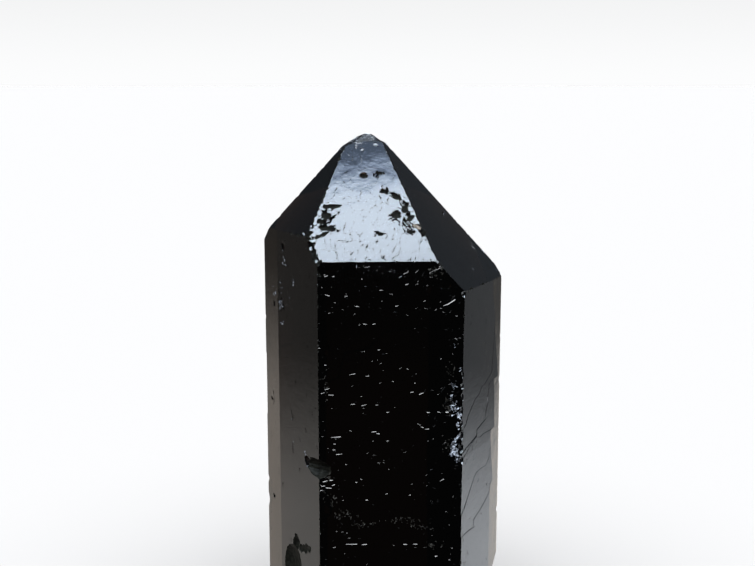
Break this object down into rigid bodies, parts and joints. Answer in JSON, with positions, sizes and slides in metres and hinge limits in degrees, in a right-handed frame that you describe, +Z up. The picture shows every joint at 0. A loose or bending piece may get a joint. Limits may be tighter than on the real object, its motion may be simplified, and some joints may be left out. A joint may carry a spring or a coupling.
{
  "type": "morion quartz point",
  "caption": "Single upright point of black morion quartz with flat prism and termination faces, a worn tip, etch pits, chipped edges and a broken foot cut flat to stand on.",
  "frame": {"origin": "middle of the bounding box's floor, in the plane of the flat foot", "axes": "+Z up along the crystal's growth axis to its tip, the broad front prism face towards -Y, +X to the right of it"},
  "size_m": [0.0244, 0.0206, 0.0538],
  "materials": {
    "morion": "glassy natural crystal faces, so smoky that it looks black, with pits and frosted chips"
  },
  "bodies": {
    "root": {"crystal": "morion"}
  },
  "joints": []
}
